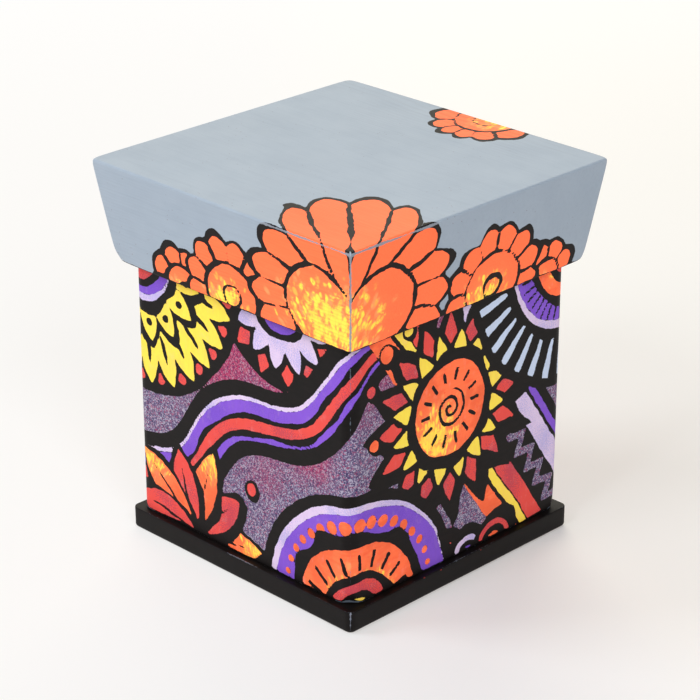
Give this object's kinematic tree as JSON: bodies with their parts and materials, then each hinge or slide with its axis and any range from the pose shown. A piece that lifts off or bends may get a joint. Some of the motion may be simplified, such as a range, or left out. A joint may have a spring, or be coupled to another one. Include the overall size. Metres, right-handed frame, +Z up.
{
  "type": "kerf-bent cedar box with lid",
  "caption": "Square painted cedar box bent from one plank, on a projecting black base, with a flared lift-off lid carved from a solid block.",
  "frame": {"origin": "centre of the base board's underside", "axes": "+Z up; -Y and +X are the two walls that the picture shows, left and right; the pegged corner is at -X +Y"},
  "size_m": [0.1372, 0.1372, 0.1551],
  "materials": {
    "painted_walls": "satin paint",
    "grey_lid": "satin paint",
    "black_base": "satin paint",
    "cedar_pegs": "bare wood"
  },
  "bodies": {
    "box": {"side_board": "painted_walls", "base_board": "black_base", "corner_peg_1": "cedar_pegs", "corner_peg_2": "cedar_pegs", "corner_peg_3": "cedar_pegs", "corner_peg_4": "cedar_pegs", "corner_peg_5": "cedar_pegs", "base_peg_front_1": "cedar_pegs", "base_peg_front_2": "cedar_pegs", "base_peg_right_1": "cedar_pegs", "base_peg_right_2": "cedar_pegs", "base_peg_back_1": "cedar_pegs", "base_peg_back_2": "cedar_pegs", "base_peg_left_1": "cedar_pegs", "base_peg_left_2": "cedar_pegs"},
    "lid": {"lid": "grey_lid"}
  },
  "joints": [
    {"name": "lid_lift", "type": "slide", "parent": "box", "child": "lid", "axis": [0, 0, 1], "range_m": [0, 0.12]}
  ]
}
